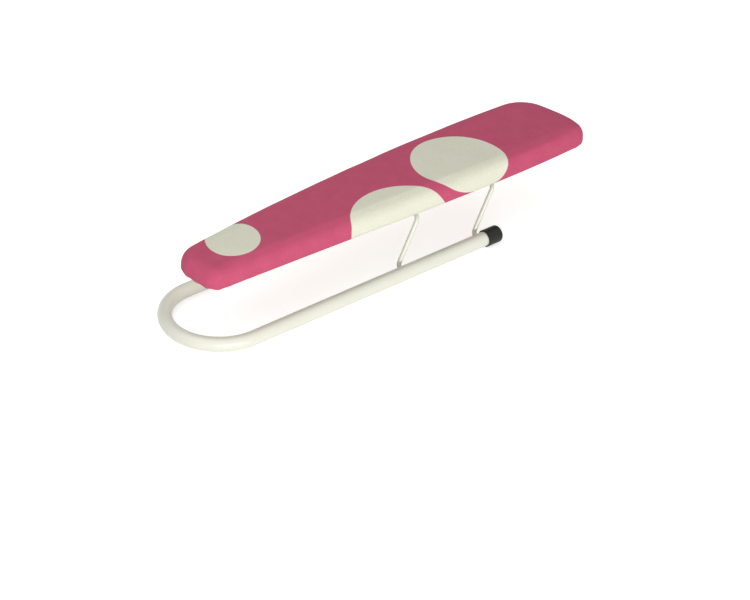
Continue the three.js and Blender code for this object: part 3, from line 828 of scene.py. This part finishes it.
# %% Lay the cover
flat_profile = cover_profile()
wrap = np.concatenate([[0], np.cumsum(np.linalg.norm(np.diff(flat_profile, axis=0), axis=1))])
soft_edges = [soft_edge(place[0], out[1]) for place, out in zip(station_place, station_out)]
profiles = np.array([cover_profile(edge) for edge in soft_edges])
lengths = np.linalg.norm(np.diff(profiles, axis=1), axis=2)
station_wrap = np.concatenate([np.zeros((station_count, 1)), np.cumsum(lengths, axis=1)], axis=1)
ring_count = len(flat_profile)
ring_points = ring_count * station_count
cover_points, cover_print = [], []
for level in range(ring_count):
    inset, height = profiles[:, level, 0], profiles[:, level, 1]
    lift = crown(inset) if level < top_levels else 0 * inset
    cover_points.append(laid(inset, height + lift))
    cover_print.append(laid(crown_inset - station_wrap[:, level], 0)[:, :2])
grid_points, grid_faces = stretched_grid(cover_points[0], 0, ring_points)
cover_print = np.concatenate([*cover_print, stretched_grid(cover_print[0], 0, ring_points)[0]])
cover_points = np.concatenate([*cover_points, grid_points])
cover = mesh_object("cotton_cover", cover_points * mm, grid_faces + bands(ring_count))
print("cover", len(cover_points), "points,", round(wrap[-1], 1), "mm of cloth from crown to hem end")

# %% [markdown]
# Settling the cloth
#
# Foam presses the cloth from inside while the hem holds it. Blender's Cloth does the same with a little
# pressure and no gravity, and the hem pinned. It only has to relax the straight offsets, so a few frames are
# enough. No point may move much more than a millimetre, and none may sink into the foam.

# %% Settle the cloth
settle_frames, settle_cap = 14, 1.3 * mm


def settle(piece, held_numbers):
    """Relaxes a piece as cloth with some of its points held, outwards only and up to the cap."""
    before = coordinates(piece)
    held = piece.vertex_groups.new(name="held")
    held.add(held_numbers, 1.0, "REPLACE")
    cloth_modifier = piece.modifiers.new("cloth", "CLOTH")
    configure(
        cloth_modifier.settings, quality=6, mass=0.2, tension_stiffness=25, compression_stiffness=25,
        shear_stiffness=12, bending_stiffness=0.6, vertex_group_mass="held", use_pressure=True,
        uniform_pressure_force=1.2,
    )
    cloth_modifier.settings.effector_weights.gravity = 0
    configure(cloth_modifier.collision_settings, use_collision=False, use_self_collision=False)
    scene = bpy.context.scene
    for number in range(1, settle_frames + 1):
        scene.frame_set(number)
    relaxed = coordinates(piece.evaluated_get(bpy.context.evaluated_depsgraph_get()))
    piece.modifiers.remove(cloth_modifier)
    piece.vertex_groups.remove(held)
    scene.frame_set(1)
    moved = relaxed - before
    normals = np.array([vertex.normal[:] for vertex in piece.data.vertices])
    depth = np.minimum((moved * normals).sum(axis=1), 0)
    moved -= normals * depth[:, None]
    far = np.linalg.norm(moved, axis=1)
    capped = settle_cap * np.tanh(far / settle_cap)
    moved *= (capped / np.maximum(far, 1e-9))[:, None]
    move_to(piece, before + moved)
    mean, most = (round(float(value) / mm, 2) for value in (capped.mean(), capped.max()))
    print("cloth moved", mean, "mm on average,", most, "mm at most")


settle(cover, list(range((bottom_start + 1) * station_count, ring_points)))

# %% [markdown]
# Gathers, creases and cloth thickness
#
# Round the nose and the rear corners there is too much cloth for the shorter hem, so it stands in small
# gathers. They are made after the settling, because simulation would need very small squares to find them.
# One subdivision gives them enough points, and Solidify gives the cloth its thickness.

# %% Print map and subdivision
def store_print(piece, flat):
    loops = np.zeros(len(piece.data.loops), int)
    piece.data.loops.foreach_get("vertex_index", loops)
    piece.data.uv_layers.new(name="print").data.foreach_set("uv", (flat[loops] * mm).ravel())


store_print(cover, pulled(cover_print))
wrap_of = np.concatenate([np.repeat(wrap, station_count), np.zeros(len(grid_points))])
cover.data.attributes.new("wrap", "FLOAT", "POINT").data.foreach_set("value", wrap_of)
finer = cover.modifiers.new("finer", "SUBSURF")
configure(finer, levels=1, render_levels=1, boundary_smooth="PRESERVE_CORNERS")
cover = finished(cover)

# %% Gathers and creases
gather_drop, gather_pull, gather_gain, nose_gain = 1.5, 1.2, 34, 0.75
nose_zone, nose_fade, blur, blur_width = 10, 8, 80, 2.5
pitch_range, pitch_knots, depth_range, depth_knots = (11.0, 19.0), 50, (0.55, 1.0), 120
wave_middle, under_share = 0.4, 0.4
creases = ((34.0, 0.35), (11.0, 0.10))  # size and height in mm
side_wrap, under_wrap, hem_wrap = wrap[top_levels - 1], wrap[bottom_end - 1], wrap[bottom_end + 1]
random = np.random.default_rng(7)


def uneven(limits, knots):
    """A number for each point of the outline that wanders between two limits."""
    return np.interp(travel[:-1], np.linspace(0, perimeter, knots), random.uniform(*limits, knots))


turn_rate = np.abs(np.gradient(np.unwrap(np.arctan2(outward[:, 1], outward[:, 0])), travel[:-1]))
kernel = np.exp(-np.linspace(-blur_width, blur_width, 2 * blur + 1) ** 2)
smooth_turn = np.convolve(np.pad(turn_rate, blur, "wrap"), kernel / kernel.sum(), "valid")
at_nose = np.clip((nose_x + nose_zone - outline[:, 0]) / nose_fade, 0.0, 1.0)
fullness = np.clip(smooth_turn * gather_gain + nose_gain * at_nose, 0.0, 1.0)
gather_phase = np.cumsum(2 * np.pi / uneven(pitch_range, pitch_knots) * np.gradient(travel[:-1]))
gather_phase *= round(gather_phase[-1] / (2 * np.pi)) * 2 * np.pi / gather_phase[-1]
gather_depth = fullness * uneven(depth_range, depth_knots)
outline_tree = kdtree.KDTree(len(outline))
for number, (x, y) in enumerate(outline):
    outline_tree.insert((x, y, 0), number)
outline_tree.balance()


def gathered(points, wraps):
    """Moves skin points, in mm, into the gathers of the hem and the small creases above it."""
    moved = points.copy()
    for i, (point, reach) in enumerate(zip(points, wraps)):
        if reach <= 0:
            continue
        number = outline_tree.find((point[0], point[1], 0))[1]
        wave = 0.5 - 0.5 * math.cos(gather_phase[number])
        near_hem = min(max((reach - side_wrap) / (under_wrap - side_wrap), 0.0), 1.0)
        depth, share = gather_depth[number], 1.0 if reach < under_wrap else under_share
        moved[i, 2] -= gather_drop * (depth * wave) * near_hem ** 3
        moved[i, :2] += outward[number] * gather_pull * depth * (wave - wave_middle) * near_hem ** 2 * share
    return moved


points = coordinates(cover) / mm
wraps = np.zeros(len(points))
wrap_layer = cover.data.attributes["wrap"]
wrap_layer.data.foreach_get("value", wraps)
points = gathered(points, wraps)
for i, point in enumerate(points):
    if wraps[i] < side_wrap:
        points[i, 2] += sum(noise.noise(Vector(point) / size) * height for size, height in creases)
move_to(cover, points * mm)
cover.data.attributes.remove(wrap_layer)
configure(cover.modifiers.new("cloth_thickness", "SOLIDIFY"), thickness=cloth_thickness * mm, offset=-1)
cover = hand_over(cover, "board", "printed_cotton", "fabric_cover", material=cotton)
x, y = outline.T

# %% [markdown]
# Foam pad
#
# Under the cloth lies a foam tray that covers the core's top and sides. It has the same soft edge as the
# cloth, one cloth thickness further in, and a cut lower edge.

# %% Foam pad
pad_inset, pad_side, pad_slack = cloth_thickness + touch, 3.0, 0.4
core_top, pad_foot = core_high.z / mm, bottom_plane + bottom_round
out_x, out_y = station_out.T
stand = near_stand * np.clip(-out_y, 0, 1) + far_stand * np.clip(out_y, 0, 1)
pad_inner = pad_inset + pad_side + (stand + rear_stand * np.clip(out_x, 0, 1))
pad_rings = []
for level in range(top_levels):
    inset, height = profiles[:, level, 0], profiles[:, level, 1]
    deeper = pad_inset * (1 - inset / crown_inset)
    lower = pad_inset * (0.4 + 0.6 * inset / crown_inset) + pad_slack
    pad_rings.append(laid(inset + deeper, height - lower + crown(inset)))
pad_rings += [laid(inset, height) for inset, height in (
    (pad_inset + 0.15, pad_foot + 1.6), (pad_inset + 0.3, pad_foot + 0.4), (pad_inset + 0.7, pad_foot),
    (pad_inner - 0.3, pad_foot), (pad_inner, pad_foot + 0.3), (pad_inner, core_top - 4),
    (pad_inner, core_top + touch), (crown_inset, core_top + touch),
)]
last_ring, past_rings = (len(pad_rings) - 1) * station_count, len(pad_rings) * station_count
top_points, top_faces = stretched_grid(pad_rings[0], 0, past_rings)
low_points, low_faces = stretched_grid(pad_rings[-1], last_ring, past_rings + len(top_points))
pad_points = np.concatenate([*pad_rings, top_points, low_points])
pad_faces = top_faces + bands(len(pad_rings)) + [face[::-1] for face in low_faces]
pad = mesh_object("foam_pad_soft", pad_points * mm, pad_faces)
pad = hand_over(pad, "board", "foam", "foam_pad", material=foam)

# %% [markdown]
# Hem elastic
#
# A flat elastic band lies in the fold of the hem and follows its gathers.

# %% Hem elastic
band_outer, band_inner, band_thickness = 5.8, 10.7, 0.6
band_bottom = bottom_plane + cloth_thickness + touch
band_top = band_bottom + band_thickness
band_points = np.concatenate([
    gathered(laid(inset, height), [hem_wrap] * station_count) for inset, height in (
        (band_outer, band_top), (band_outer, band_bottom), (band_inner, band_bottom), (band_inner, band_top))
])
band = mesh_object("hem_elastic_band", band_points * mm, bands(4, looped=True))
hand_over(band, "board", "elastic", "hem_elastic", material=elastic, crisp=40)

# %% [markdown]
# Hem stitches
#
# The hem is closed by one row of lockstitch, a stitch every 3 mm. A tree resamples the seam line and turns
# one small stitch along it at every point, which is how a row of equal things is best made.

# %% Hem stitches
tree, given = tree_with("row_of_stitches", Stitch_Pitch="Float", Stitch_Length="Float", Thread_Radius="Float")
line = add("GeometryNodeMeshToCurve", {"Mesh": given["Geometry"]})[0]
spaced = add("GeometryNodeResampleCurve", {"Curve": line, "Length": given["Stitch Pitch"]}, mode="LENGTH")[0]
bead = add("GeometryNodeMeshUVSphere", {"Segments": 6, "Rings": 5, "Radius": 1.0})[0]
half_length, thickness = calc("MULTIPLY", given["Stitch Length"], 0.5), given["Thread Radius"]
stitch_scale = add("ShaderNodeCombineXYZ", {0: half_length, 1: thickness, 2: thickness})[0]
stitch = add("GeometryNodeTransform", {"Geometry": bead, "Scale": stitch_scale})[0]
tangent = add("GeometryNodeInputTangent")[0]
aligned = add("FunctionNodeAlignRotationToVector", {"Vector": tangent}, axis="X")[0]
end_tree(add("GeometryNodeInstanceOnPoints", {"Points": spaced, "Instance": stitch, "Rotation": aligned})[0])

seam_margin, seam_count = 1.4, 900
stitch_pitch, stitch_length, thread_radius = 3 * mm, 2.3 * mm, 0.22 * mm
seam_inset = hem_width - hem_turn + seam_margin
seam_place, seam_out = at(np.linspace(0, perimeter, seam_count, endpoint=False))
seam_points = gathered(laid(seam_inset, bottom_plane, seam_place, seam_out), [hem_wrap] * seam_count)
seam_edges = [(i, (i + 1) % seam_count) for i in range(seam_count)]
seam = mesh_object("hem_stitches", seam_points * mm, edges=seam_edges)
apply_tree(seam, tree, Stitch_Pitch=stitch_pitch, Stitch_Length=stitch_length, Thread_Radius=thread_radius,
           Finish=thread)
hand_over(seam, "board", "printed_cotton")

# %% [markdown]
# Pivot clips
#
# A nylon clip holds each end of a crossbar: a flange against the core and a boss with a bore that the wire
# snaps into from below. One clip is made from its profile, rounded as a moulding is and drilled, and a tree
# puts a copy at each of the four pivots.

# %% One clip
clip_half, clip_width, clip_flange, clip_wall, clip_neck = 15 * mm, 12 * mm, 2.4 * mm, 2.2 * mm, 1.6 * mm
clip_bore = wire_radius + 0.3 * mm
clip_boss = clip_bore + clip_wall
clip_top = core_low.z - pivot.z - touch * mm
clip_mouth = 0.8 * wire_radius
flange_round, clip_round, tiny = 3.2 * mm, 0.35 * mm, 1e-6
screw_place, hole_radius, hole_length = 10.5 * mm, 1.9 * mm, 8 * mm


def clip_section():
    """The clip seen from the side, with the pivot axis at the origin."""
    low = clip_top - clip_flange
    bore_gap, boss_gap = (math.degrees(math.asin(clip_mouth / radius)) for radius in (clip_bore, clip_boss))
    bend = 0.3 * clip_neck
    side = [(clip_boss, low - clip_neck), (clip_boss + bend, low - bend), (clip_boss + clip_neck, low),
            (clip_half, low)]
    points = [(clip_half, clip_top), (-clip_half, clip_top)] + [(-x, z) for x, z in side[::-1]]
    points += arc(0, 0, clip_boss, 180, 270 - boss_gap, 11)
    points += arc(0, 0, clip_bore, 270 - bore_gap, bore_gap - 90, 27)
    return points + arc(0, 0, clip_boss, boss_gap - 90, 0, 11) + side


def round_flange(work):
    """Rounds the four upright corners of the flange."""
    face_outwards(work)
    corners = []
    for edge in work.edges:
        a, b = (vertex.co for vertex in edge.verts)
        if abs(a.x) > clip_half * 0.99 and abs(a.x - b.x) < tiny and abs(a.y - b.y) < tiny:
            corners.append(edge)
    bmesh.ops.bevel(work, geom=corners, offset=flange_round, segments=6, affect="EDGES", profile=0.5)


section = clip_section()
count = len(section)
clip_points = [(x, y, z) for y in (-clip_width / 2, clip_width / 2) for x, z in section]
clip_faces = [tuple(range(count)), tuple(reversed(range(count, 2 * count)))]
clip_faces += [(i, i + count, (i + 1) % count + count, (i + 1) % count) for i in range(count)]
clip = edit(mesh_object("clip_master", clip_points, clip_faces), round_flange)
clip = cut(clip, [
    drill(f"screw_bit_{sign}", (sign * screw_place, 0, clip_top), hole_radius, hole_length, sides=24)
    for sign in (-1, 1)
])
edge_round = clip.modifiers.new("edge_round", "BEVEL")
configure(edge_round, width=clip_round, segments=2, limit_method="ANGLE", angle_limit=math.radians(50))
clip = edit(finished(clip), drop_slivers)

# %% Copies by a tree
tree, given = tree_with("copies_at_points", Part="Object", Most_Turn="Float")
part = add("GeometryNodeObjectInfo", {"Object": given["Part"]})["Geometry"]
least, most = calc("MULTIPLY", given["Most Turn"], -1.0), given["Most Turn"]
turn = add("FunctionNodeRandomValue", {2: least, 3: most, "Seed": 5}, data_type="FLOAT")[1]
spin = add("ShaderNodeCombineXYZ", {2: turn})[0]
spins = {"Instance": part, "Rotation": add("FunctionNodeEulerToRotation", {"Euler": spin})[0]}
end_tree(add("GeometryNodeInstanceOnPoints", {"Points": given["Geometry"], **spins})[0])
copies = tree


def copies_of(part_object, name, places, finish, most_turn=0.0):
    recipe = mesh_object(name, places)
    apply_tree(recipe, copies, Part=part_object, Most_Turn=most_turn, Finish=finish)
    row_of_parts = finished(recipe)
    bpy.data.objects.remove(part_object)
    return row_of_parts


def middle_of(name):
    low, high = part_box(name)
    return (low.x + high.x) / 2, (low.y + high.y) / 2


pivots = [f"{end}_{side}" for end in ("front", "rear") for side in ("near", "far")]
clip_names = [f"pivot_clip_{place}" for place in pivots]
clips = copies_of(clip, "pivot_clips", [(*middle_of(name), pivot.z) for name in clip_names], nylon)
hand_over(clips, "board", "grey_nylon", *clip_names, crisp=42)

# %% [markdown]
# Clip screws
#
# Eight pan-head wood screws with a cross recess. The head is turned from a profile and the recess is cut
# with two tapered bars. Each screw is left at its own angle, as a driver leaves them.

# %% Clip screws
head_radius, head_height, head_edge, shank_radius = 3.0 * mm, 1.9 * mm, 0.1 * mm, 1.6 * mm
screw_length, point_length, screw_sides, most_turn = 12 * mm, 2 * mm, 32, 0.8
deep_end, open_end = (1.6, 0.5, -0.5), (3.4, 0.75, -2.4)  # the recess bar's length, width and height in mm
screw_profile, dome_angles, flatness = [(0, -head_height)], np.linspace(0.2, 1.45, 9), 0.7
for angle in dome_angles:
    screw_profile.append((head_radius * math.sin(angle), -head_height * math.cos(angle) ** flatness))
screw_profile += [(head_radius, -head_edge), (head_radius - head_edge, 0), (shank_radius, 0)]
screw_profile += [(shank_radius, screw_length - point_length), (0, screw_length)]
screw = turned("screw_master", screw_profile, screw_sides, (0, 0, 0), upright=True)


def cross_bar(name, turn):
    """A tapered bar that cuts one of the two slots of the recess."""
    def grow(work):
        bmesh.ops.create_cube(work, size=1.0)
        for vertex in work.verts:
            long, wide, height = deep_end if vertex.co.z > 0 else open_end
            vertex.co = Vector((vertex.co.x * long * mm, vertex.co.y * wide * mm, height * mm))
        bmesh.ops.rotate(work, verts=work.verts, cent=(0, 0, 0), matrix=Matrix.Rotation(turn, 3, "Z"))
        face_outwards(work)

    return edit(mesh_object(name), grow)


screw = cut(screw, [cross_bar("cross_a", 0), cross_bar("cross_b", math.pi / 2)])
screw_names = [f"clip_screw_{place}_{end}" for place in pivots for end in ("fore", "aft")]
screw_places = [(*middle_of(name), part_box(name)[0].z + head_height) for name in screw_names]
screws = copies_of(screw, "clip_screws", screw_places, zinc, most_turn)
hand_over(screws, "board", "zinc_steel", *screw_names, crisp=30)

# %% Finish of the core
for slot in frame["nodes"]["board_core"].material_slots:
    slot.material = birch

# %% [markdown]
# Floor and light
#
# One soft lamp low at the front left lights the near side most, a broad one above lights the top less, and
# the white room fills the rest. The floor is pale, shows white to the camera and still takes the object's
# shadow. Its back face is clear, so the board can be looked at from below.

# %% Floor
def seen_directly():
    """1 where a camera, a mirror or a clear body looks, and 0 for the light that surfaces gather."""
    rays = add("ShaderNodeLightPath")
    through = calc("MAXIMUM", rays["Is Glossy Ray"], rays["Is Transmission Ray"])
    return calc("MAXIMUM", rays["Is Camera Ray"], through)


floor_half, floor_glow = 9, 0.62
floor_material, tree, shader = start_material("white_sweep", Roughness=0.9, Specular_IOR_Level=0.0)
faint = mottled(object_place(), 500, 1.0)
dress(mix(faint, tone(236, 236, 236), tone(238, 238, 238)))
connect((1, 1, 1, 1), shader["Emission Color"])
connect(calc("MULTIPLY", seen_directly(), floor_glow), shader["Emission Strength"])
under = add("ShaderNodeNewGeometry")["Backfacing"]
lit_floor = tree.nodes["Principled BSDF"].outputs[0]
one_way = add("ShaderNodeMixShader", {0: under, 1: lit_floor, 2: add("ShaderNodeBsdfTransparent")[0]})[0]
connect(one_way, tree.nodes["Material Output"].inputs["Surface"])
floor_corners = [(x * floor_half, y * floor_half, 0) for x, y in ((-1, -1), (1, -1), (1, 1), (-1, 1))]
floor = mesh_object("white_sweep", floor_corners, [(0, 1, 2, 3)])
floor.data.materials.append(floor_material)

# %% Light
room_light, backdrop_light = 0.6, 1.0
world = bpy.data.worlds.new("white_room")
bpy.context.scene.world = world
world.use_nodes = True
tree = world.node_tree
tree.nodes.clear()
room, backdrop = (
    add("ShaderNodeBackground", {"Color": (1, 1, 1, 1), "Strength": light})[0]
    for light in (room_light, backdrop_light)
)
mixed = add("ShaderNodeMixShader", {0: seen_directly(), 1: room, 2: backdrop})[0]
add("ShaderNodeOutputWorld", {"Surface": mixed})


def lamp(name, place, target, width, height, power):
    data = bpy.data.lights.new(name, "AREA")
    configure(data, shape="RECTANGLE", size=width, size_y=height, energy=power)
    rotation = (Vector(target) - Vector(place)).to_track_quat("-Z", "Y").to_euler()
    configure(new_object(name, data), location=place, rotation_euler=rotation)


lamp("front_lamp", (-1.05, -2.4, 0.26), (0, 0, 0.06), 1.8, 0.44, 41)
lamp("top_lamp", (-0.7, 0.1, 0.95), (-0.1, 0, 0.06), 0.9, 0.9, 2.2)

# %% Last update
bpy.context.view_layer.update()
